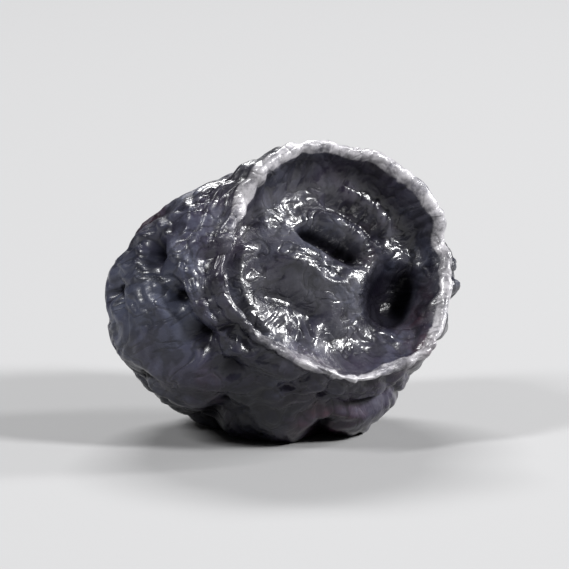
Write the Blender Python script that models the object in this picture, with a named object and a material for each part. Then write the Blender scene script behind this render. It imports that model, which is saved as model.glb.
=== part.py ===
"""Dried blueberry, lying on its side on a small flat spot with its calyx end
turned up and to the front right. +Z up, metres.

The plain fruit is a turned profile: a bowl inside the calyx ring, the ring's
lip, the shoulder, the flattened body and the stem scar. Its skin is then drawn
in by formula: worn calyx lobes, the folds of the bowl's floor, long creases
that part the body into lobes, broad hollows and a net of wrinkles.
"""
import math

import bmesh
import bpy
import numpy as np

# Size of the finished fruit, in metres
LENGTH = 0.0105
DEPTH = 0.0099
HEIGHT = 0.0089
PRESSED = 0.00030        # how far the resting side is pressed flat

# The profile and the relief are worked out in millimetres
MM = 0.001
BODY_RADIUS = 5.00       # mean radius round the axis from calyx to stem
BODY_HALF = 4.40         # half the body's length along that axis
WIDER, LOWER = 1.09, 0.91  # how far the round section is squashed
SHOULDER_RADIUS = 4.42   # where the calyx end joins the body
SCAR_RADIUS, SCAR_DEPTH = 0.60, 0.60

# The calyx axis: degrees right of the front, and above the horizontal
TURN, RISE = 32, 22

STEPS, RINGS = 94, 54
SEED = 2

# Radius and height along the fruit's axis, from the bowl's middle to the shoulder
CALYX_PROFILE = [
    (0.00, 2.64), (0.26, 2.60), (0.52, 2.80), (0.86, 2.85), (1.40, 2.77),
    (2.05, 2.60), (2.50, 2.62), (2.80, 2.86), (2.96, 3.18), (3.08, 3.52),
    (3.24, 3.76), (3.43, 3.78), (3.57, 3.58), (3.55, 3.30), (3.66, 3.04),
    (3.94, 2.74), (4.22, 2.42),
]

# Breaks between the five worn lobes: azimuth, half-width (degrees), depth
LOBE_BREAKS = [(6, 7, 0.34), (76, 10, 0.22), (140, 9, 0.34), (214, 12, 0.34), (286, 8, 0.26)]
WORN_SIDE, WORN_SPREAD, WORN_DEPTH = 184, 38, 0.80
PLEATS, PLEAT_DEPTH = 23, 0.24

# Creases of the body: width, depth, and the way they run, as azimuth round the
# axis and angle from the calyx, in degrees
CREASES = [
    (0.75, 0.60, [(134, 92), (150, 80), (166, 70), (188, 62), (212, 59), (244, 63)]),
    (0.60, 0.42, [(186, 79), (175, 90), (176, 104)]),
    (0.80, 0.42, [(246, 64), (262, 59), (284, 58), (306, 62)]),
    (0.90, 0.30, [(216, 80), (208, 98), (204, 122)]),
    (0.90, 0.48, [(232, 62), (238, 80), (230, 104), (236, 130)]),
    (0.90, 0.52, [(150, 62), (143, 82), (150, 104), (142, 128)]),
    (1.00, 0.58, [(100, 56), (106, 76), (96, 100), (104, 132)]),
    (0.90, 0.45, [(62, 56), (58, 76), (68, 98), (60, 120)]),
    (1.00, 0.58, [(24, 58), (30, 78), (22, 102), (30, 128)]),
    (0.90, 0.48, [(-14, 56), (-18, 78), (-8, 104), (-14, 128)]),
    (1.05, 0.60, [(-52, 58), (-46, 80), (-54, 106), (-48, 134)]),
    (0.90, 0.48, [(-86, 58), (-92, 80), (-84, 104), (-90, 126)]),
]
SMALL_CREASES = 10

# A smoother patch of the body: azimuth, angle from the calyx, reach, share
CALM = (184, 88, 3.0, 0.75)
# Broad sunken places: azimuth, angle from the calyx, reach, depth
SUNKEN = [(122, 82, 2.8, 0.75), (84, 78, 2.6, 0.60), (150, 130, 3.0, 0.35), (-40, 100, 2.6, 0.40)]

# Folds of the bowl's floor, across it: "ridge", "fold" or "hollow", width,
# height or depth, points
FLOOR = [
    ("ridge", 0.46, 0.44, [(-2.0, 0.85), (-0.8, 0.28), (0.75, -0.62)]),
    ("fold", 0.22, 0.12, [(-1.6, 0.72), (-0.7, 0.24), (0.4, -0.42)]),
    ("fold", 0.42, 0.66, [(-0.75, 1.35), (0.2, 0.72), (1.15, -0.05)]),
    ("ridge", 0.30, 0.32, [(-0.1, 1.72), (0.75, 1.15), (1.55, 0.35)]),
    ("fold", 0.34, 0.38, [(0.2, 2.25), (1.2, 1.6), (1.95, 0.55)]),
    ("ridge", 0.26, 0.22, [(0.9, 2.45), (1.75, 1.75), (2.35, 0.8)]),
    ("hollow", 1.25, 0.80, [(2.05, -1.20)]),
    ("ridge", 0.24, 0.34, [(1.25, -2.25), (1.65, -1.95)]),
    ("hollow", 0.75, 0.40, [(-2.3, 1.75)]),
    ("fold", 0.50, 0.30, [(-2.3, -0.4), (-1.2, -0.85), (-0.3, -1.7)]),
    ("fold", 0.40, 0.22, [(-1.2, -0.9), (-1.0, -1.6), (-1.3, -2.3)]),
]

UNEVEN = 0.17            # uneven shrinking of the whole fruit
# Wavelength and depth of the pillowed folds and of the wrinkles between them
FOLD_WAVE, FOLD_DEPTH = 2.7, 0.34
WRINKLE_WAVE, WRINKLE_DEPTH = 1.20, 0.27
RESTING_INWARD = 0.24     # how far the resting side is drawn in, evenly


def ease(low, high, x):
    """0 below low, 1 above high, smooth between them."""
    t = np.clip((x - low) / (high - low), 0, 1)
    return t * t * (3 - 2 * t)


def unit(v):
    return v / np.linalg.norm(v, axis=-1, keepdims=True)


def waves(rng, size, count=18):
    """A smooth random field in space, with features of about the given size."""
    ways = unit(rng.normal(size=(count, 3)))
    ways *= rng.uniform(0.6, 1.5, (count, 1)) * math.tau / size
    starts = rng.uniform(0, math.tau, count)
    return lambda p: np.cos(p @ ways.T + starts).sum(1) * math.sqrt(2 / count)


def stirred(p, rng, size, amount):
    """The points moved about by a smooth random field, so that lines wander."""
    return p + amount * np.stack([waves(rng, size)(p) for _ in range(3)], 1)


def wrinkle_field(p, rng, wavelength, reach, swirl):
    """Lines about a wavelength apart over the skin, mostly from calyx to stem.

    Many short wave trains, each with its own middle, direction and start, are
    added as complex numbers. Gives the phase of the sum and how well they agree.
    """
    on_unit = wavelength / BODY_RADIUS
    size = on_unit * reach
    count = int(4 * math.pi / size ** 2 * 2.2)
    k = np.arange(count) + 0.5
    z = 1 - 2 * k / count
    turn = k * math.pi * (3 - math.sqrt(5))
    flat = np.sqrt(1 - z * z)
    middle = np.stack([flat * np.cos(turn), flat * np.sin(turn), z], 1)
    middle = unit(middle + rng.normal(0, 1.2 / math.sqrt(count), middle.shape))
    east = unit(np.cross([0, 0, 1.0], middle))
    north = np.cross(middle, east)
    swing = swirl * waves(rng, 1.6, 10)(middle) + rng.normal(0, 0.12, count)
    heading = np.cos(swing)[:, None] * east + np.sin(swing)[:, None] * north
    start = rng.uniform(0, math.tau, count) - (middle * heading).sum(1) * math.tau / on_unit
    u = unit(p)
    total = np.zeros(len(u), complex)
    for first in range(0, len(u), 8192):
        part = u[first:first + 8192]
        strength = np.exp((part @ middle.T - 1) / (0.55 * size) ** 2)
        phase = (part @ heading.T) * math.tau / on_unit + start
        total[first:first + 8192] = (strength * np.exp(1j * phase)).sum(1)
    agree = np.abs(total)
    return np.angle(total), agree / (agree + 0.25)


def valley(phase, power):
    """0 on the hill and 1 in the narrow bottom, for a phase that runs round."""
    soft = 0.0064
    return 1 - ((np.cos(phase / 2) ** 2 + soft) / (1 + soft)) ** (power / 2)


def curve_through(points, pieces=7):
    """A smooth line through the points (Catmull-Rom)."""
    p = np.array(points, float)
    p = np.vstack([2 * p[0] - p[1], p, 2 * p[-1] - p[-2]])
    t = np.linspace(0, 1, pieces, endpoint=False)[:, None]
    line = []
    for a, b, c, d in zip(p, p[1:], p[2:], p[3:]):
        line.append(0.5 * (2 * b + (c - a) * t + (2 * a - 5 * b + 4 * c - d) * t ** 2
                           + (3 * b - a - 3 * c + d) * t ** 3))
    return np.vstack(line + [p[-2][None]])


def along(p, line):
    """Each point's distance from a line, and its place along it from 0 to 1."""
    leg = np.diff(line, axis=0)
    size = np.linalg.norm(leg, axis=1)
    run = np.concatenate([[0], np.cumsum(size)])
    nearest, place = np.full(len(p), 1e9), np.zeros(len(p))
    for i in range(len(leg)):
        t = np.clip(((p - line[i]) @ leg[i]) / size[i] ** 2, 0, 1)
        distance = np.linalg.norm(p - (line[i] + t[:, None] * leg[i]), axis=1)
        closer = distance < nearest
        nearest = np.where(closer, distance, nearest)
        place = np.where(closer, (run[i] + t * size[i]) / run[-1], place)
    return nearest, place


def crease(p, points, width, depth):
    """A fold line: sharp at its bottom, easing out over its width and at its ends."""
    soft = 0.06
    distance, place = along(p, curve_through(points))
    fade = 0.12 + 0.88 * ease(0, 0.22, np.minimum(place, 1 - place))
    side = (np.sqrt(distance ** 2 + soft ** 2) - soft) / (width * (0.55 + 0.45 * fade))
    return depth * fade * np.clip(1 - side, 0, 1) ** 1.7


def ridge(p, points, width, height):
    """A rounded ridge along a line, lower at its ends."""
    distance, place = along(p, curve_through(points))
    fade = 0.25 + 0.75 * np.clip(np.minimum(place, 1 - place) / 0.3, 0, 1)
    return height * fade * np.exp(-(distance / width) ** 2)


def hollow(p, middle, radius, depth):
    """A round hollow with a fairly crisp rim."""
    bowl = 1 - (np.linalg.norm(p - middle, axis=1) / radius) ** 2
    return depth * (np.sqrt(bowl ** 2 + 0.026) + bowl) / 2


def on_body(azimuth, angle):
    a, b = math.radians(azimuth), math.radians(angle)
    return (BODY_RADIUS * math.sin(b) * math.cos(a),
            BODY_RADIUS * math.sin(b) * math.sin(a), BODY_HALF * math.cos(b))


def profile(rings):
    """The fruit's half outline from the bowl's middle to the stem scar."""
    angle = np.linspace(math.asin(SHOULDER_RADIUS / BODY_RADIUS), math.pi, 60)
    body = np.stack([BODY_RADIUS * np.sin(angle), BODY_HALF * np.cos(angle)], 1)
    line = np.vstack([curve_through(CALYX_PROFILE + [tuple(body[0])], 10)[:-1], body])
    r, z = line[:, 0], line[:, 1]
    scar = SCAR_DEPTH * np.exp(-(r / SCAR_RADIUS) ** 2) - 0.12 * np.exp(-((r - 1.0) / 0.32) ** 2)
    line[:, 1] = np.where(z < 0, z + scar, z)
    line[[0, -1], 0] = 0
    # rings are closest together at the lip
    middle = (line[1:] + line[:-1]) / 2
    close = np.where(middle[:, 1] > 3.0, 2.0, np.where(middle[:, 1] > 2.0, 1.35, 1.0))
    close = np.where((middle[:, 0] < 2.2) & (middle[:, 1] > 0), 0.9, close)
    run = np.concatenate([[0], np.cumsum(np.linalg.norm(np.diff(line, axis=0), axis=1) * close)])
    at = np.linspace(0, run[-1], rings + 1)
    return np.stack([np.interp(at, run, line[:, 0]), np.interp(at, run, line[:, 1])], 1)


def pose():
    """Columns: the fruit's own right, up and calyx directions in the world."""
    turn, rise = math.radians(TURN), math.radians(RISE)
    axis = np.array([math.sin(turn) * math.cos(rise), -math.cos(turn) * math.cos(rise), math.sin(rise)])
    right = unit(np.cross([0, 0, 1.0], axis))
    return np.stack([right, np.cross(axis, right), axis], 1)


def shrink(p, normal):
    """The plain fruit's points, moved to where they lie once it has dried."""
    draw = lambda feature: np.random.default_rng([SEED, feature])
    radius = np.linalg.norm(p[:, :2], axis=1)
    azimuth = np.degrees(np.arctan2(p[:, 1], p[:, 0]))
    outward = np.stack([np.cos(np.radians(azimuth)), np.sin(np.radians(azimuth))], 1)
    calyx = p[:, 2] > 1.8
    body = np.where(calyx, ease(3.70, 4.15, radius) * ease(3.2, 2.6, p[:, 2]), 1.0)
    bowl = np.where(calyx, 1 - ease(2.50, 3.00, radius), 0.0)
    lip = np.where(calyx, ease(2.50, 3.05, radius)
                   * ease(2.3, 3.5, p[:, 2] + 2 * ease(3.2, 2.9, radius)), 0)
    flank = np.where(calyx & (radius > 3.2), 1, 0) * ease(1.9, 2.8, p[:, 2]) * ease(3.8, 3.3, p[:, 2])

    # calyx ring: uneven, broken between its lobes and worn down on one side
    ring = np.column_stack([outward * 3.6, np.full(len(p), 3.5)])
    rng = draw(1)
    uneven_radius = 0.06 * waves(rng, 4.5)(ring) + 0.03 * waves(rng, 1.5)(ring)
    uneven_height = 0.06 * waves(rng, 4.5)(ring) + 0.03 * waves(rng, 1.3)(ring)
    away = lambda middle: (azimuth - middle + 180) % 360 - 180
    breaks = sum(deep * np.exp(-(away(middle) / half) ** 2) for middle, half, deep in LOBE_BREAKS)
    worn = WORN_DEPTH * np.exp(-(away(WORN_SIDE) / WORN_SPREAD) ** 2)
    q = p.copy()
    q[:, :2] += outward * (lip * (uneven_radius - 0.35 * breaks + 0.10 * worn))[:, None]
    q[:, 2] += lip * (uneven_height - breaks - worn)

    # creases, joined by taking the deepest of them with soft corners
    wandering = stirred(p, draw(2), 3.0, 0.22)
    deepest = sum(crease(wandering, [on_body(*at) for at in points], width, depth) ** 4
                  for width, depth, points in CREASES)
    rng = draw(3)
    for _ in range(SMALL_CREASES):
        azimuth_now = rng.uniform(0, 360)
        angle_now = math.degrees(math.acos(rng.uniform(-0.92, 0.35)))
        heading = rng.normal(0, 0.55) + (0 if rng.random() < 0.6 else math.pi / 2)
        points = []
        for _ in range(rng.integers(3, 5)):
            points.append(on_body(azimuth_now, angle_now))
            step = rng.uniform(16, 26)
            azimuth_now += step * math.sin(heading) / max(0.35, math.sin(math.radians(angle_now)))
            angle_now = min(165, max(50, angle_now + step * math.cos(heading)))
            heading += rng.normal(0, 0.45)
        deepest = deepest + crease(wandering, points, rng.uniform(0.75, 1.15), rng.uniform(0.3, 0.6)) ** 4
    deepest = deepest ** 0.25
    inward = deepest * body

    # broad sunken places, then folds and wrinkles, fewer on the calm patch
    side, down, reach, share = CALM
    restless = 1 - share * np.exp(-(np.linalg.norm(p - on_body(side, down), axis=1) / reach) ** 2)
    for side, down, reach, depth in SUNKEN:
        inward += depth * body * np.exp(-(np.linalg.norm(p - on_body(side, down), axis=1) / reach) ** 2)
    inward -= UNEVEN * waves(draw(4), 5.5, 14)(p) * (0.25 + 0.75 * body)
    rng = draw(5)
    phase, agree = wrinkle_field(stirred(p, rng, 4.5, 0.4), rng, FOLD_WAVE, 1.2, 0.5)
    patch = 0.35 + 0.65 * ease(-0.8, 0.8, waves(rng, 5.0)(p))
    inward += FOLD_DEPTH * valley(phase, 0.8) * agree * patch * restless * (0.05 + 0.95 * body)
    rng = draw(6)
    phase, agree = wrinkle_field(stirred(p, rng, 1.8, 0.16), rng, WRINKLE_WAVE, 1.1, 0.7)
    patch = 0.25 + 0.75 * ease(-0.4, 0.9, waves(rng, 3.5)(p))
    kept = np.where(calyx & (radius < 3.0), 0.35, 0.16 + 0.84 * body + 0.30 * flank * (1 - body))
    inward += (WRINKLE_DEPTH * valley(phase, 0.8) * agree * patch * restless * kept
               * (0.7 + 0.5 * np.clip(deepest / 0.5, 0, 1)))
    rng = draw(7)
    pleat = valley(np.radians(azimuth) * PLEATS + 1.6 * waves(rng, 3.2)(ring + 0.5 * p), 0.8)
    pleat *= 0.35 + 0.65 * ease(-0.6, 1.0, waves(rng, 3.0)(p))
    inward += PLEAT_DEPTH * pleat * np.maximum(flank, 0.08 * lip)

    # the resting side keeps only a little of the relief
    down = -pose()[2]
    drop = p @ down
    aside = np.linalg.norm(p - drop[:, None] * down, axis=1)
    resting = np.where(drop > 0, 0.85 * (1 - ease(1.2, 2.6, aside)), 0)
    inward += resting * (RESTING_INWARD - inward)
    q -= normal * inward[:, None]

    # the bowl's floor
    across = p * [1, 1, 0]
    for kind, width, size, points in FLOOR:
        points = [(x, y, 0) for x, y in points]
        if kind == "ridge":
            q[:, 2] += bowl * ridge(across, points, width, size)
        elif kind == "fold":
            q[:, 2] -= bowl * crease(across, points, width, size)
        else:
            q[:, 2] -= bowl * hollow(across, points[0], width, size)
    return q


def settle(q):
    """Squash the round section, turn the fruit to where it lies, fit it to its
    size, press its resting side flat and bring that side to z = 0. Metres."""
    calyx = ease(2.0, 3.4, q[:, 2])
    q = q * np.stack([1 + (WIDER - 1) * (1 - calyx), 1 + (LOWER - 1) * (1 - calyx), np.ones(len(q))], 1)
    q = q @ pose().T * MM
    low, high = q.min(0), q.max(0)
    q[:, 2] = np.maximum((q[:, 2] - low[2]) * (HEIGHT + PRESSED) / (high[2] - low[2]) - PRESSED, 0)
    q[:, 0] = (q[:, 0] - (low[0] + high[0]) / 2) * LENGTH / (high[0] - low[0])
    q[:, 1] = (q[:, 1] - (low[1] + high[1]) / 2) * DEPTH / (high[1] - low[1])
    return q


def berry_mesh(name, steps, rings):
    bm = bmesh.new()
    line = [bm.verts.new((r, 0, z)) for r, z in profile(rings)]
    for a, b in zip(line, line[1:]):
        bm.edges.new((a, b))
    bmesh.ops.spin(bm, geom=bm.verts[:] + bm.edges[:], cent=(0, 0, 0), axis=(0, 0, 1),
                   angle=math.tau, steps=steps, use_merge=True)
    bmesh.ops.remove_doubles(bm, verts=bm.verts[:], dist=1e-5)
    bmesh.ops.recalc_face_normals(bm, faces=bm.faces[:])
    bm.normal_update()
    points = np.array([v.co for v in bm.verts])
    normals = np.array([v.normal for v in bm.verts])
    for vert, place in zip(bm.verts, settle(shrink(points, normals))):
        vert.co = place
    bmesh.ops.triangulate(bm, faces=bm.faces[:], quad_method="SHORT_EDGE")
    mesh = bpy.data.meshes.new(name)
    bm.to_mesh(mesh)
    bm.free()
    mesh.shade_smooth()
    return mesh


for thing in list(bpy.data.objects):
    bpy.data.objects.remove(thing, do_unlink=True)

skin = bpy.data.materials.new("dried_skin")
skin.use_nodes = True
surface = skin.node_tree.nodes["Principled BSDF"]
surface.inputs["Base Color"].default_value = (0.012, 0.012, 0.021, 1)
surface.inputs["Roughness"].default_value = 0.42
surface.inputs["Metallic"].default_value = 0.0

mesh = berry_mesh("dried_blueberry", STEPS, RINGS)
mesh.materials.append(skin)
berry = bpy.data.objects.new("dried_blueberry", mesh)
bpy.context.collection.objects.link(berry)
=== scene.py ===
import math

import bmesh
import bpy
import numpy as np
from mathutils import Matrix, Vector


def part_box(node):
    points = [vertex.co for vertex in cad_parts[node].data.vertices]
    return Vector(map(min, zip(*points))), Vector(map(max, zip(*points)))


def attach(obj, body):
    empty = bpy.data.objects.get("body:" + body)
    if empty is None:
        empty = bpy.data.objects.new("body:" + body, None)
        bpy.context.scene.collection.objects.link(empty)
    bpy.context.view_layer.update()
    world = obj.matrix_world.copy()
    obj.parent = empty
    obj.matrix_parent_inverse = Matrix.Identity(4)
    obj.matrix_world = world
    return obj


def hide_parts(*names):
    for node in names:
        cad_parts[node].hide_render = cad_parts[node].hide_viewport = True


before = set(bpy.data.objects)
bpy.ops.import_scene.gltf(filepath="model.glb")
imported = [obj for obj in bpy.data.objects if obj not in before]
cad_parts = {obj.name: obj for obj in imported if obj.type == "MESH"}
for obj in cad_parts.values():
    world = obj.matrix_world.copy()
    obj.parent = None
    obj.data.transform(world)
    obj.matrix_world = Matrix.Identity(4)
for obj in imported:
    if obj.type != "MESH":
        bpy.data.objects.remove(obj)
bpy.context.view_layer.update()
low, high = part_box("dried_blueberry")
print("frame loaded", [round(c * 1000, 2) for c in low], [round(c * 1000, 2) for c in high])

# Berry: the dried fruit. Its shape is worked out in millimetres round the axis
# from stem to calyx, as the CAD part's is, with a finer mesh and finer wrinkles.
# Angles are in degrees.
berrySet = dict(
    node="dried_blueberry", slot="dried_skin",
    steps=384, rings=222, seed=2,
    closer=(2.0, 1.35, 0.9),  # how close the rings stand on the lip, the bowl's wall and its floor
    inside=0.9996,  # share of the CAD box that the piece fills
    radius=5.00, half=4.40, wider=1.09, lower=0.91, shoulder=4.42,
    turn=32, rise=22,  # how far the calyx faces to the right and up
    # stem scar, the swelling round it as radius, width and height, and its stain
    scarRadius=0.60, scarDepth=0.60, scarSwelling=(1.0, 0.32, 0.12), stainRadius=0.75,
    # the flat spot: what is pressed off, and the smoother skin round it
    pressed=0.30, restingInward=0.24, restingShare=0.85, restingReach=(1.2, 2.6),
    # radius and height of the calyx end, from the bowl's middle to the shoulder
    calyx=[
        (0.00, 2.64), (0.26, 2.60), (0.52, 2.80), (0.86, 2.85), (1.40, 2.77),
        (2.05, 2.60), (2.50, 2.62), (2.80, 2.86), (2.96, 3.18), (3.08, 3.52),
        (3.24, 3.76), (3.43, 3.78), (3.57, 3.58), (3.55, 3.30), (3.66, 3.04),
        (3.94, 2.74), (4.22, 2.42),
    ],
    # the middle of the lip, which its own waves are worked out on
    lipRadius=3.6, lipHeight=3.5, lipUneven=(0.06, 0.03),
    # breaks between the calyx lobes: azimuth, half-width, depth
    breaks=[(6, 7, 0.34), (76, 10, 0.22), (140, 9, 0.34), (214, 12, 0.34), (286, 8, 0.26)],
    breakInward=0.35,
    wornSide=184, wornSpread=38, wornDepth=0.80, wornOutward=0.10,
    highlightBandSide=240, highlightBandSpread=27,  # painted highlight: a pale band on the bowl's wall
    # smoother patch of the body: azimuth, angle from the calyx, reach, share
    calm=(184, 88, 3.0, 0.75),
    # broad sunken places: azimuth, angle from the calyx, reach, depth
    sunken=[
        (122, 82, 2.8, 0.75), (84, 78, 2.6, 0.60), (150, 130, 3.0, 0.35), (-40, 100, 2.6, 0.40),
    ],
    # long creases: width, depth, points as azimuth and angle from the calyx
    creases=[
        (0.75, 0.60, [(134, 92), (150, 80), (166, 70), (188, 62), (212, 59), (244, 63)]),
        (0.60, 0.42, [(186, 79), (175, 90), (176, 104)]),
        (0.80, 0.42, [(246, 64), (262, 59), (284, 58), (306, 62)]),
        (0.90, 0.30, [(216, 80), (208, 98), (204, 122)]),
        (0.90, 0.48, [(232, 62), (238, 80), (230, 104), (236, 130)]),
        (0.90, 0.52, [(150, 62), (143, 82), (150, 104), (142, 128)]),
        (1.00, 0.58, [(100, 56), (106, 76), (96, 100), (104, 132)]),
        (0.90, 0.45, [(62, 56), (58, 76), (68, 98), (60, 120)]),
        (1.00, 0.58, [(24, 58), (30, 78), (22, 102), (30, 128)]),
        (0.90, 0.48, [(-14, 56), (-18, 78), (-8, 104), (-14, 128)]),
        (1.05, 0.60, [(-52, 58), (-46, 80), (-54, 106), (-48, 134)]),
        (0.90, 0.48, [(-86, 58), (-92, 80), (-84, 104), (-90, 126)]),
    ],
    bottomShare=0.45,  # how much of a long crease's width is its bottom, painted dark as shade
    smallCreases=dict(count=10, stride=(16, 26), width=(0.75, 1.15), depth=(0.3, 0.6)),
    # folds of the bowl's floor: width, height or depth, points across the axis
    floor=[
        ("ridge", 0.46, 0.44, [(-2.0, 0.85), (-0.8, 0.28), (0.75, -0.62)]),
        ("fold", 0.22, 0.12, [(-1.6, 0.72), (-0.7, 0.24), (0.4, -0.42)]),
        ("fold", 0.42, 0.66, [(-0.75, 1.35), (0.2, 0.72), (1.15, -0.05)]),
        ("ridge", 0.30, 0.32, [(-0.1, 1.72), (0.75, 1.15), (1.55, 0.35)]),
        ("fold", 0.34, 0.38, [(0.2, 2.25), (1.2, 1.6), (1.95, 0.55)]),
        ("ridge", 0.26, 0.22, [(0.9, 2.45), (1.75, 1.75), (2.35, 0.8)]),
        ("hollow", 1.25, 0.80, [(2.05, -1.20)]),
        ("ridge", 0.24, 0.34, [(1.25, -2.25), (1.65, -1.95)]),
        ("hollow", 0.75, 0.40, [(-2.3, 1.75)]),
        ("fold", 0.50, 0.30, [(-2.3, -0.4), (-1.2, -0.85), (-0.3, -1.7)]),
        ("fold", 0.40, 0.22, [(-1.2, -0.9), (-1.0, -1.6), (-1.3, -2.3)]),
    ],
    paintedShadeDepth=0.46,  # depth at which the bowl's floor gets its full painted shade
    uneven=0.17,
    # wrinkles of three sizes: wavelength and depth, how far they are stirred, how long and
    # how swirling their trains are, how sharp they are, and the patches that they come in
    folds=dict(wave=2.7, depth=0.34, stir=(4.5, 0.4), reach=1.2, swirl=0.5, sharp=0.8,
               patches=(5.0, 0.35, -0.8, 0.8)),
    wrinkles=dict(wave=1.20, depth=0.27, stir=(1.8, 0.16), reach=1.1, swirl=0.7, sharp=0.8,
                  patches=(3.5, 0.25, -0.4, 0.9)),
    fine=dict(wave=0.46, depth=0.130, stir=(0.9, 0.07), reach=1.1, swirl=1.6, sharp=0.9,
              patches=(2.2, 0.35, -0.6, 0.8)),
    # round the lip: how many, how deep, and how far they wander
    pleats=23, pleatDepth=0.24, pleatWander=1.6,
    notches=29, notchDepth=0.070, notchWander=4.5,
)


def ease(start, end, x):
    t = np.clip((x - start) / (end - start), 0, 1)
    return t * t * (3 - 2 * t)


def unit(v):
    return v / np.linalg.norm(v, axis=-1, keepdims=True)


# a smooth random field in space
def waves(rng, size, count=18):
    ways = unit(rng.normal(size=(count, 3)))
    ways *= rng.uniform(0.6, 1.5, (count, 1)) * math.tau / size
    starts = rng.uniform(0, math.tau, count)
    return lambda p: np.cos(p @ ways.T + starts).sum(1) * math.sqrt(2 / count)


# patches from the least value up to 1
def patchy(p, rng, size, least, start, end):
    return least + (1 - least) * ease(start, end, waves(rng, size)(p))


def stirred(p, rng, size, amount):
    return p + amount * np.stack([waves(rng, size)(p) for _ in range(3)], 1)


# lines a wavelength apart, mostly from calyx to stem: short wave trains added
# as complex numbers, which give a phase and how well the trains agree
def wrinkleField(p, rng, wavelength, reach, swirl, radius):
    onUnit = wavelength / radius
    size = onUnit * reach
    count = int(4 * math.pi / size ** 2 * 2.2)
    k = np.arange(count) + 0.5
    z = 1 - 2 * k / count
    turn = k * math.pi * (3 - math.sqrt(5))
    flat = np.sqrt(1 - z * z)
    middle = np.stack([flat * np.cos(turn), flat * np.sin(turn), z], 1)
    middle = unit(middle + rng.normal(0, 1.2 / math.sqrt(count), middle.shape))
    east = unit(np.cross([0, 0, 1.0], middle))
    north = np.cross(middle, east)
    swing = swirl * waves(rng, 1.6, 10)(middle) + rng.normal(0, 0.12, count)
    heading = np.cos(swing)[:, None] * east + np.sin(swing)[:, None] * north
    start = rng.uniform(0, math.tau, count) - (middle * heading).sum(1) * math.tau / onUnit
    u = unit(p).astype(np.float32)
    middle, heading, start = (a.astype(np.float32) for a in (middle, heading, start))
    across, along = np.zeros(len(u)), np.zeros(len(u))
    batch = 8192
    for first in range(0, len(u), batch):
        part = u[first:first + batch]
        strength = np.exp((part @ middle.T - 1) / np.float32((0.55 * size) ** 2))
        phase = (part @ heading.T) * np.float32(math.tau / onUnit) + start
        across[first:first + batch] = (strength * np.cos(phase)).sum(1)
        along[first:first + batch] = (strength * np.sin(phase)).sum(1)
    agree = np.hypot(across, along)
    return np.arctan2(along, across), agree / (agree + 0.25)


# 0 on the hill, 1 in the narrow bottom
def valley(phase, power):
    soft = 0.0064
    return 1 - ((np.cos(phase / 2) ** 2 + soft) / (1 + soft)) ** (power / 2)


# wrinkles of one size
def wrinkled(p, rng, kind, radius):
    phase, agree = wrinkleField(stirred(p, rng, *kind["stir"]), rng,
                                kind["wave"], kind["reach"], kind["swirl"], radius)
    return valley(phase, kind["sharp"]) * agree * patchy(p, rng, *kind["patches"])


def curveThrough(points, pieces=7):
    p = np.array(points, float)
    p = np.vstack([2 * p[0] - p[1], p, 2 * p[-1] - p[-2]])
    t = np.linspace(0, 1, pieces, endpoint=False)[:, None]
    line = []
    for a, b, c, d in zip(p, p[1:], p[2:], p[3:]):
        line.append(0.5 * (2 * b + (c - a) * t + (2 * a - 5 * b + 4 * c - d) * t ** 2
                           + (3 * b - a - 3 * c + d) * t ** 3))
    return np.vstack(line + [p[-2][None]])


# distance from a line, and the place along it from 0 to 1
def nearLine(p, line):
    leg = np.diff(line, axis=0)
    size = np.linalg.norm(leg, axis=1)
    run = np.concatenate([[0], np.cumsum(size)])
    nearest, place = np.full(len(p), 1e9), np.zeros(len(p))
    for i in range(len(leg)):
        t = np.clip(((p - line[i]) @ leg[i]) / size[i] ** 2, 0, 1)
        distance = np.linalg.norm(p - (line[i] + t[:, None] * leg[i]), axis=1)
        closer = distance < nearest
        nearest = np.where(closer, distance, nearest)
        place = np.where(closer, (run[i] + t * size[i]) / run[-1], place)
    return nearest, place


# 1 at the middle, fading out over the reach
def near(p, middle, reach):
    return np.exp(-(np.linalg.norm(p - middle, axis=1) / reach) ** 2)


# sharp at its bottom, easing out over its width and at its ends
def crease(p, points, width, depth):
    soft = 0.06
    distance, place = nearLine(p, curveThrough(points))
    fade = 0.12 + 0.88 * ease(0, 0.22, np.minimum(place, 1 - place))
    side = (np.sqrt(distance ** 2 + soft ** 2) - soft) / (width * (0.55 + 0.45 * fade))
    return depth * fade * np.clip(1 - side, 0, 1) ** 1.7


def ridge(p, points, width, height):
    distance, place = nearLine(p, curveThrough(points))
    fade = 0.25 + 0.75 * np.clip(np.minimum(place, 1 - place) / 0.3, 0, 1)
    return height * fade * np.exp(-(distance / width) ** 2)


def hollow(p, middle, radius, depth):
    soft = 0.026
    bowl = 1 - (np.linalg.norm(p - middle, axis=1) / radius) ** 2
    return depth * (np.sqrt(bowl ** 2 + soft) + bowl) / 2


def onBody(s, azimuth, angle):
    a, b = math.radians(azimuth), math.radians(angle)
    return (s["radius"] * math.sin(b) * math.cos(a),
            s["radius"] * math.sin(b) * math.sin(a), s["half"] * math.cos(b))


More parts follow.
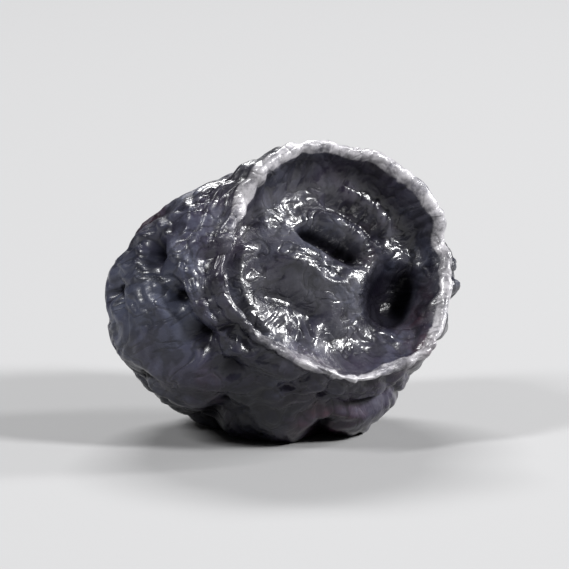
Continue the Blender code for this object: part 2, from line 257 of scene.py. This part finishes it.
# half outline from the bowl's middle to the stem scar
def profile(s):
    angle = np.linspace(math.asin(s["shoulder"] / s["radius"]), math.pi, 60)
    body = np.stack([s["radius"] * np.sin(angle), s["half"] * np.cos(angle)], 1)
    line = np.vstack([curveThrough(s["calyx"] + [tuple(body[0])], 10)[:-1], body])
    r, z = line[:, 0], line[:, 1]
    edge, width, height = s["scarSwelling"]
    scar = (s["scarDepth"] * np.exp(-(r / s["scarRadius"]) ** 2)
            - height * np.exp(-((r - edge) / width) ** 2))
    line[:, 1] = np.where(z < 0, z + scar, z)
    line[[0, -1], 0] = 0
    middleRadius, middleHeight = ((line[1:] + line[:-1]) / 2).T
    onLip, onWall, onFloor = s["closer"]
    close = np.where(middleHeight > 3.0, onLip, np.where(middleHeight > 2.0, onWall, 1.0))
    close = np.where((middleRadius < 2.2) & (middleHeight > 0), onFloor, close)
    steps = np.linalg.norm(np.diff(line, axis=0), axis=1) * close
    run = np.concatenate([[0], np.cumsum(steps)])
    at = np.linspace(0, run[-1], s["rings"] + 1)
    return np.stack([np.interp(at, run, line[:, 0]), np.interp(at, run, line[:, 1])], 1)


# columns: the fruit's right, up and calyx directions
def pose(s):
    turn, rise = math.radians(s["turn"]), math.radians(s["rise"])
    axis = np.array([math.sin(turn) * math.cos(rise), -math.cos(turn) * math.cos(rise),
                     math.sin(rise)])
    right = unit(np.cross([0, 0, 1.0], axis))
    return np.stack([right, np.cross(axis, right), axis], 1)


# where the calyx end, the body, the bowl, the lip and the lip's outer side lie
def regions(radius, z):
    calyx = z > 1.8
    body = np.where(calyx, ease(3.70, 4.15, radius) * ease(3.2, 2.6, z), 1.0)
    bowl = np.where(calyx, 1 - ease(2.50, 3.00, radius), 0.0)
    lip = np.where(calyx, ease(2.50, 3.05, radius)
                   * ease(2.3, 3.5, z + 2 * ease(3.2, 2.9, radius)), 0)
    flank = np.where(calyx & (radius > 3.2), 1, 0) * ease(1.9, 2.8, z) * ease(3.8, 3.3, z)
    return calyx, body, bowl, lip, flank


# a small crease that strolls over the body
def stroll(s, rng):
    azimuth = rng.uniform(0, 360)
    angle = math.degrees(math.acos(rng.uniform(-0.92, 0.35)))
    heading = rng.normal(0, 0.55) + (0 if rng.random() < 0.6 else math.pi / 2)
    points = []
    for _ in range(rng.integers(3, 5)):
        points.append(onBody(s, azimuth, angle))
        step = rng.uniform(*s["smallCreases"]["stride"])
        azimuth += step * math.sin(heading) / max(0.35, math.sin(math.radians(angle)))
        angle = min(165, max(50, angle + step * math.cos(heading)))
        heading += rng.normal(0, 0.45)
    return points


# depth of all the creases, and the narrow bottoms of the long ones from 0 to 1
def creased(s, p, rng):
    longOnes = [(width, depth, [onBody(s, *at) for at in points])
                for width, depth, points in s["creases"]]
    deepest = sum(crease(p, points, width, depth) ** 4 for width, depth, points in longOnes)
    bottom = sum(crease(p, points, s["bottomShare"] * width, 1) ** 4
                 for width, depth, points in longOnes)
    small = s["smallCreases"]
    for _ in range(small["count"]):
        points = stroll(s, rng)
        width, depth = rng.uniform(*small["width"]), rng.uniform(*small["depth"])
        deepest = deepest + crease(p, points, width, depth) ** 4
    return deepest ** 0.25, bottom ** 0.25


# how far the bowl's floor is lifted, and how much painted shade its deep places get
def bowlFloor(s, p):
    lift, paintedShadeInBowl = np.zeros(len(p)), np.zeros(len(p))
    for kind, width, size, points in s["floor"]:
        points = [(x, y, 0) for x, y in points]
        if kind == "ridge":
            lift += ridge(p, points, width, size)
            continue
        if kind == "fold":
            depth = crease(p, points, width, size)
        else:
            depth = hollow(p, points[0], width, size)
        lift -= depth
        paintedShadeInBowl = np.maximum(paintedShadeInBowl, depth / s["paintedShadeDepth"])
    return lift, paintedShadeInBowl


# draws the plain fruit's skin in; gives the points and the masks the skin's colour uses
def shrink(s, p, normal):
    def draw(feature):
        return np.random.default_rng([s["seed"], feature])

    def onSide(side, spread):
        return np.exp(-(((azimuth - side + 180) % 360 - 180) / spread) ** 2)

    radius = np.linalg.norm(p[:, :2], axis=1)
    azimuth = np.degrees(np.arctan2(p[:, 1], p[:, 0]))
    outward = np.stack([np.cos(np.radians(azimuth)), np.sin(np.radians(azimuth))], 1)
    calyx, body, bowl, lip, flank = regions(radius, p[:, 2])

    # the lip: uneven, broken between its lobes and worn on one side
    ring = np.column_stack([outward * s["lipRadius"], np.full(len(p), s["lipHeight"])])
    rng = draw(1)
    broad, slight = s["lipUneven"]
    unevenRadius = broad * waves(rng, 4.5)(ring) + slight * waves(rng, 1.5)(ring)
    unevenHeight = broad * waves(rng, 4.5)(ring) + slight * waves(rng, 1.3)(ring)
    breaks = sum(depth * onSide(side, spread) for side, spread, depth in s["breaks"])
    wornShare = onSide(s["wornSide"], s["wornSpread"])
    worn = s["wornDepth"] * wornShare
    moved = unevenRadius - s["breakInward"] * breaks + s["wornOutward"] * worn
    q = p.copy()
    q[:, :2] += outward * (lip * moved)[:, None]
    q[:, 2] += lip * (unevenHeight - breaks - worn)

    # creases, sunken places and broad unevenness
    deepest, bottom = creased(s, stirred(p, draw(2), 3.0, 0.22), draw(3))
    inward = deepest * body
    for side, down, reach, depth in s["sunken"]:
        inward += depth * body * near(p, onBody(s, side, down), reach)
    inward -= s["uneven"] * waves(draw(4), 5.5, 14)(p) * (0.25 + 0.75 * body)

    # folds and wrinkles, weak on the smoother patch, then the pleats outside the lip,
    # the fine wrinkles and the lip's notches
    side, down, reach, share = s["calm"]
    restless = 1 - share * near(p, onBody(s, side, down), reach)
    folds = wrinkled(p, draw(5), s["folds"], s["radius"]) * restless
    inward += s["folds"]["depth"] * folds * (0.05 + 0.95 * body)
    wrinkles = wrinkled(p, draw(6), s["wrinkles"], s["radius"]) * restless
    kept = np.where(calyx & (radius < 3.0), 0.35, 0.16 + 0.84 * body + 0.30 * flank * (1 - body))
    inward += s["wrinkles"]["depth"] * wrinkles * kept * (0.7 + 0.5 * np.clip(deepest / 0.5, 0, 1))
    rng = draw(7)
    pleat = valley(np.radians(azimuth) * s["pleats"]
                   + s["pleatWander"] * waves(rng, 3.2)(ring + 0.5 * p), 0.8)
    pleat *= patchy(p, rng, 3.0, 0.35, -0.6, 1.0)
    inward += s["pleatDepth"] * pleat * np.maximum(flank, 0.08 * lip)
    fine = wrinkled(p, draw(8), s["fine"], s["radius"])
    inward += s["fine"]["depth"] * fine * (0.45 + 0.55 * np.maximum(body, 0.6 * lip))
    rng = draw(9)
    notch = valley(np.radians(azimuth) * s["notches"]
                   + s["notchWander"] * waves(rng, 1.7)(ring), 0.9)
    inward += s["notchDepth"] * notch * patchy(ring, rng, 1.4, 0, -0.6, 0.8) * lip

    # smoother where the fruit rests
    down = -pose(s)[2]
    drop = p @ down
    aside = np.linalg.norm(p - drop[:, None] * down, axis=1)
    resting = np.where(drop > 0, s["restingShare"] * (1 - ease(*s["restingReach"], aside)), 0)
    inward += resting * (s["restingInward"] - inward)
    q -= normal * inward[:, None]

    lift, paintedShadeInBowl = bowlFloor(s, p * [1, 1, 0])
    q[:, 2] += bowl * lift
    skinFold = 1.5 * deepest * body + 0.5 * folds + 0.5 * wrinkles
    wall = np.where(calyx & (radius < 3.3), ease(2.50, 2.80, radius) * ease(2.50, 2.75, p[:, 2]), 0)
    masks = dict(
        fold=np.clip(np.maximum(skinFold, bowl * paintedShadeInBowl), 0, 1),
        # the narrow bottoms of the long creases, where the skin colour paints shade
        line=np.clip(bottom, 0, 1) * body,
        calyx=np.clip(lip + bowl, 0, 1),
        bowl=bowl,
        scar=np.where(p[:, 2] < 0, np.exp(-(radius / s["stainRadius"]) ** 2), 0),
        # the smoother patch, which the skin colour paints with the bloom's grey as painted sheen
        bloomAndPaintedSheen=(1 - restless) * body,
        # the top of the lip, less on its worn side: pale tone and painted highlight
        crest=np.where(radius > 2.85, ease(3.42, 3.74, p[:, 2]), 0) * (1 - 0.9 * wornShare),
        # painted highlight on one side of the bowl's wall
        highlightBand=wall * onSide(s["highlightBandSide"], s["highlightBandSpread"]),
    )
    return q, masks


# squash the round section, turn, fit to the CAD box and press the resting side flat
def settle(s, q):
    squashed = 1 - ease(2.0, 3.4, q[:, 2])
    q = q * np.stack([1 + (s["wider"] - 1) * squashed, 1 + (s["lower"] - 1) * squashed,
                      np.ones(len(q))], 1)
    q = q @ pose(s).T
    least, most = q.min(0), q.max(0)
    size = (np.array(high) - np.array(low)) * s["inside"]
    pressed = s["pressed"] * 0.001
    lifted = (q[:, 2] - least[2]) * (size[2] + pressed) / (most[2] - least[2])
    q[:, 2] = np.maximum(lifted - pressed, 0)
    for side in (0, 1):
        middle = (least[side] + most[side]) / 2
        scale = size[side] / (most[side] - least[side])
        q[:, side] = (low[side] + high[side]) / 2 + (q[:, side] - middle) * scale
    return q


def makeBerry(s):
    bm = bmesh.new()
    line = [bm.verts.new((r, 0, z)) for r, z in profile(s)]
    for a, b in zip(line, line[1:]):
        bm.edges.new((a, b))
    bmesh.ops.spin(bm, geom=bm.verts[:] + bm.edges[:], cent=(0, 0, 0), axis=(0, 0, 1),
                   angle=math.tau, steps=s["steps"], use_merge=True)
    bmesh.ops.remove_doubles(bm, verts=bm.verts[:], dist=1e-5)
    bmesh.ops.recalc_face_normals(bm, faces=bm.faces[:])
    bm.normal_update()
    print("berry turned", len(bm.verts))
    points = np.array([v.co for v in bm.verts])
    normals = np.array([v.normal for v in bm.verts])
    mesh = bpy.data.meshes.new("dried_berry")
    bm.to_mesh(mesh)
    bm.free()
    q, masks = shrink(s, points, normals)
    mesh.vertices.foreach_set("co", settle(s, q).ravel())
    for name, values in masks.items():
        values = values.astype(np.float32)
        mesh.attributes.new(name, "FLOAT", "POINT").data.foreach_set("value", values)
    place = mesh.attributes.new("place", "FLOAT_VECTOR", "POINT")  # before it dried
    place.data.foreach_set("vector", points.astype(np.float32).ravel())
    mesh.update()
    mesh.shade_smooth()
    piece = bpy.data.objects.new("dried_berry", mesh)
    bpy.context.collection.objects.link(piece)
    print("berry dried", [round(c * 1000, 2) for c in piece.dimensions])
    return piece


# node helpers
class Nodes:
    def __init__(self, tree):
        self.tree = tree

    def add(self, kind, inputs=None, **props):
        node = self.tree.nodes.new(kind)
        for name, value in props.items():
            setattr(node, name, value)
        for name, value in (inputs or {}).items():
            self.put(node.inputs[name], value)
        return node

    def put(self, socket, value):
        if isinstance(value, bpy.types.NodeSocket):
            self.tree.links.new(value, socket)
        else:
            socket.default_value = value

    def math(self, operation, *values):
        node = self.add("ShaderNodeMath", operation=operation)
        for socket, value in zip(node.inputs, values):
            self.put(socket, value)
        return node.outputs[0]

    def plus(self, a, b):
        return self.math("ADD", a, b)

    def times(self, a, b):
        return self.math("MULTIPLY", a, b)

    def larger(self, a, b):
        return self.math("MAXIMUM", a, b)

    def noise(self, vector, scale, detail=3.0, rough=0.55, distort=0.0):
        inputs = {"Vector": vector, "Scale": scale, "Detail": detail, "Roughness": rough,
                  "Distortion": distort}
        return self.add("ShaderNodeTexNoise", inputs).outputs[0]

    def span(self, value, start, end, toStart=0.0, toEnd=1.0):
        inputs = {"Value": value, "From Min": start, "From Max": end,
                  "To Min": toStart, "To Max": toEnd}
        return self.add("ShaderNodeMapRange", inputs, interpolation_type="SMOOTHSTEP").outputs[0]

    # 0 along thin winding lines, 1 between them
    def net(self, vector, scale, distort, width):
        noise = self.noise(vector, scale, 2, 0.5, distort)
        return self.span(self.math("ABSOLUTE", self.math("SUBTRACT", noise, 0.5)), 0.0, width)

    def mix(self, share, a, b):
        node = self.add("ShaderNodeMix", data_type="RGBA")
        for socket, value in ((node.inputs[0], share), (node.inputs[6], a), (node.inputs[7], b)):
            self.put(socket, value)
        return node.outputs[2]

    def mask(self, name):
        return self.add("ShaderNodeAttribute", attribute_name=name).outputs["Fac"]


skinSet = dict(
    paintedShadeBlack=(0.0015, 0.0013, 0.0024, 1), blueBlack=(0.0050, 0.0053, 0.0115, 1),
    violet=(0.0138, 0.0094, 0.021, 1), wine=(0.048, 0.008, 0.012, 1),
    bloomAndPaintedSheenGrey=(0.104, 0.116, 0.172, 1), calyxGrey=(0.043, 0.042, 0.055, 1),
    paleCrestAndHighlight=(0.365, 0.355, 0.373, 1), scarBrown=(0.080, 0.047, 0.030, 1),
    wineShare=0.75, bloomShare=0.58, highlightBandShare=0.62, paintedShadeShare=0.9,
    netStretch=(1, 1, 0.55), netWidth=0.09, crinkleScale=1.5, smallScale=3.6,
    roughness=0.36, bloomRoughness=0.15, calyxRoughness=0.03,
    coat=0.48, bowlCoat=0.60, edgeCoat=0.9, coatRoughness=0.17,
    ior=1.38, coatIor=1.42,
    # relief too fine for the mesh: shares of its parts, strength and depth in metres
    crinkleHeight=0.7, smallHeight=0.26, hairHeight=0.5, grainHeight=0.12,
    bump=0.65, bumpDepth=0.000022,
)


def skinMaterial(s):
    material = bpy.data.materials.new("driedSkin")
    material.use_nodes = True
    n = Nodes(material.node_tree)
    surface = material.node_tree.nodes["Principled BSDF"]
    place = n.add("ShaderNodeTexCoord").outputs["Object"]
    mm = n.add("ShaderNodeVectorMath", {0: place, "Scale": 1000.0}, operation="SCALE").outputs[0]
    up = n.add("ShaderNodeSeparateXYZ", {"Vector": mm}).outputs["Z"]
    fold, calyx = n.mask("fold"), n.mask("calyx")
    # painted shade: black in the deep folds, in the bowl's deep places and along the bottoms of the
    # long creases; it also lowers the gloss there
    paintedShade = n.larger(n.span(fold, 0.45, 1.0, 0.0, 0.85), n.span(n.mask("line"), 0.22, 0.66))
    # crinkles run mostly from calyx to stem, in the place each point had before it dried
    grown = n.add("ShaderNodeAttribute", attribute_name="place").outputs["Vector"]
    drawn = n.add("ShaderNodeVectorMath", {0: grown, 1: s["netStretch"]},
                  operation="MULTIPLY").outputs[0]
    crinkle = n.net(drawn, s["crinkleScale"], 0.6, s["netWidth"])
    small = n.net(drawn, s["smallScale"], 0.4, s["netWidth"])

    # colour: blue-black with violet and wine-red patches
    colour = n.mix(n.span(n.noise(mm, 0.30, 4), 0.42, 0.62), s["blueBlack"], s["violet"])
    wine = n.times(n.span(n.noise(mm, 0.22, 5, 0.6, 0.4), 0.55, 0.72), s["wineShare"])
    colour = n.mix(wine, colour, s["wine"])
    # grey bloom in thin clouds, thinned in the folds and low down as painted shade; the smoother
    # patch takes the bloom's grey as painted sheen
    cloud = n.times(n.span(n.noise(mm, 0.55, 6, 0.62), 0.43, 0.68),
                    n.span(n.noise(mm, 4.0, 5, 0.7), 0.30, 0.75, 0.35, 1.0))
    bloomAndPaintedLight = n.times(cloud, n.span(fold, 0.15, 0.9, 1.0, 0.35))
    bloomAndPaintedSheen = n.times(n.mask("bloomAndPaintedSheen"), n.span(n.noise(mm, 0.8, 6, 0.6), 0.28, 0.62, 0.35, 1.15))
    bloomAndPaintedLight = n.times(n.larger(bloomAndPaintedLight, bloomAndPaintedSheen), n.span(up, 0.4, 4.2, 0.30, 1.0))
    colour = n.mix(n.times(bloomAndPaintedLight, s["bloomShare"]), colour, s["bloomAndPaintedSheenGrey"])
    # the calyx is greyer, and the bottoms of the crinkles are darker as painted shade
    grey = n.times(calyx, n.span(n.noise(mm, 1.4, 5, 0.6), 0.35, 0.7, 0.1, 0.75))
    colour = n.mix(grey, colour, s["calyxGrey"])
    colour = n.mix(n.span(crinkle, 0.0, 0.8, 0.45, 0.0), colour, s["paintedShadeBlack"])
    # pale lip, partly its own paler tone and partly painted highlight, and a painted highlight band
    # on the bowl's wall, ragged at the edge and mottled
    edge = n.larger(n.mask("crest"), n.times(n.mask("highlightBand"), s["highlightBandShare"]))
    ragged = n.math("MULTIPLY_ADD", n.noise(mm, 2.6, 6, 0.7), 1.3, -0.65)
    edge = n.span(n.plus(edge, ragged), 0.38, 0.78)
    edge = n.times(edge, n.span(n.noise(mm, 1.6, 7, 0.72), 0.36, 0.60, 0.18, 0.95))
    colour = n.mix(n.times(edge, n.span(crinkle, 0.0, 0.8, 0.72, 1.0)), colour, s["paleCrestAndHighlight"])
    # brown stem scar, and painted shade: black in the creases and in the bowl's deep places
    stain = n.times(n.mask("scar"), n.span(n.noise(mm, 3.0, 5, 0.6), 0.3, 0.7, 0.3, 0.9))
    colour = n.mix(stain, colour, s["scarBrown"])
    colour = n.mix(n.times(paintedShade, s["paintedShadeShare"]), colour, s["paintedShadeBlack"])
    n.put(surface.inputs["Base Color"], colour)

    # gloss: tacky skin, duller where the bloom lies and in the creases
    rough = n.plus(s["roughness"], n.times(bloomAndPaintedLight, s["bloomRoughness"]))
    rough = n.plus(rough, n.span(n.noise(mm, 2.2, 6, 0.65), 0.3, 0.7, -0.08, 0.10))
    rough = n.plus(rough, n.times(calyx, s["calyxRoughness"]))
    n.put(surface.inputs["Roughness"], rough)
    coat = n.times(s["coat"], n.span(bloomAndPaintedLight, 0.1, 0.8, 1.0, 0.5))
    coat = n.math("MULTIPLY_ADD", n.mask("bowl"), s["bowlCoat"], coat)
    coat = n.times(coat, n.span(paintedShade, 0.0, 1.0, 1.0, 0.08))
    n.put(surface.inputs["Coat Weight"], n.larger(coat, n.times(edge, s["edgeCoat"])))
    n.put(surface.inputs["Specular IOR Level"], n.span(paintedShade, 0.0, 1.0, 0.5, 0.10))
    surface.inputs["Coat Roughness"].default_value = s["coatRoughness"]
    surface.inputs["IOR"].default_value = s["ior"]
    surface.inputs["Coat IOR"].default_value = s["coatIor"]

    # fine relief: a net of crinkles, hairlines and grain
    height = n.plus(n.times(crinkle, s["crinkleHeight"]), n.times(small, s["smallHeight"]))
    finest = n.plus(n.times(n.noise(mm, 6.0, 5, 0.6), s["hairHeight"]),
                    n.times(n.noise(mm, 18.0, 4, 0.6), s["grainHeight"]))
    bump = n.add("ShaderNodeBump", {"Height": n.plus(height, finest), "Strength": s["bump"],
                                    "Distance": s["bumpDepth"]})
    n.put(surface.inputs["Normal"], bump.outputs[0])
    n.put(surface.inputs["Coat Normal"], bump.outputs[0])
    return material


berry = makeBerry(berrySet)
berry.data.materials.append(skinMaterial(skinSet))
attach(berry, "root")
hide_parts(berrySet["node"])
print("skin set")

# Floor: one plain pale sheet, a hair below the fruit
floorSet = dict(half=1.5, below=0.00001, colour=(0.235, 0.235, 0.238, 1), roughness=0.75,
                specular=0.2)


def makeFloor(s):
    bm = bmesh.new()
    bmesh.ops.create_grid(bm, x_segments=1, y_segments=1, size=s["half"])
    bmesh.ops.translate(bm, verts=bm.verts[:], vec=(0, 0, -s["below"]))
    mesh = bpy.data.meshes.new("floor")
    bm.to_mesh(mesh)
    bm.free()
    material = bpy.data.materials.new("paleFloor")
    material.use_nodes = True
    surface = material.node_tree.nodes["Principled BSDF"]
    surface.inputs["Base Color"].default_value = s["colour"]
    surface.inputs["Roughness"].default_value = s["roughness"]
    surface.inputs["Specular IOR Level"].default_value = s["specular"]
    mesh.materials.append(material)
    piece = bpy.data.objects.new("floor", mesh)
    bpy.context.collection.objects.link(piece)
    return piece


makeFloor(floorSet)
print("floor laid")

# Light: where each lamp stands, its size in metres and its power in watts
lightSet = dict(
    lamps=dict(
        key=dict(at=(0.22, -0.12, 0.18), size=(0.05, 0.05), power=1.6),
        right=dict(at=(0.26, 0.08, 0.13), size=(0.04, 0.12), power=0.95),
        over=dict(at=(-0.02, 0.20, 0.21), size=(0.14, 0.035), power=1.0),
        left=dict(at=(-0.20, -0.12, 0.22), size=(0.05, 0.09), power=1.0),
    ),
    aim=(0, 0, 0.004),
    surround=(1, 1, 1, 1), surroundStrength=0.05,
)


def makeLights(s):
    for name, lampSet in s["lamps"].items():
        light = bpy.data.lights.new(name, "AREA")
        light.shape = "RECTANGLE"
        light.size, light.size_y = lampSet["size"]
        light.energy = lampSet["power"]
        lamp = bpy.data.objects.new(name, light)
        lamp.location = lampSet["at"]
        ray = Vector(s["aim"]) - Vector(lampSet["at"])
        lamp.rotation_euler = ray.to_track_quat("-Z", "Y").to_euler()
        bpy.context.collection.objects.link(lamp)
    world = bpy.data.worlds.new("studio")
    world.use_nodes = True
    background = world.node_tree.nodes["Background"]
    background.inputs["Color"].default_value = s["surround"]
    background.inputs["Strength"].default_value = s["surroundStrength"]
    bpy.context.scene.world = world
    bpy.context.scene.view_settings.view_transform = "Standard"


makeLights(lightSet)

# Camera: from the front, a little above and far off
cameraSet = dict(azimuth=0, elevation=10, lens=300, across=0.0168, aim=(0.0, 0.0, 0.0043),
                 clip=(0.01, 10))


def makeCamera(s):
    data = bpy.data.cameras.new("camera")
    data.lens = s["lens"]
    data.clip_start, data.clip_end = s["clip"]
    distance = s["across"] * s["lens"] / data.sensor_width
    a, e = math.radians(s["azimuth"]), math.radians(s["elevation"])
    back = Vector((math.sin(a) * math.cos(e), -math.cos(a) * math.cos(e), math.sin(e)))
    camera = bpy.data.objects.new("camera", data)
    camera.location = Vector(s["aim"]) + back * distance
    camera.rotation_euler = (-back).to_track_quat("-Z", "Y").to_euler()
    bpy.context.collection.objects.link(camera)
    bpy.context.scene.camera = camera


makeCamera(cameraSet)
print("lights and camera set")
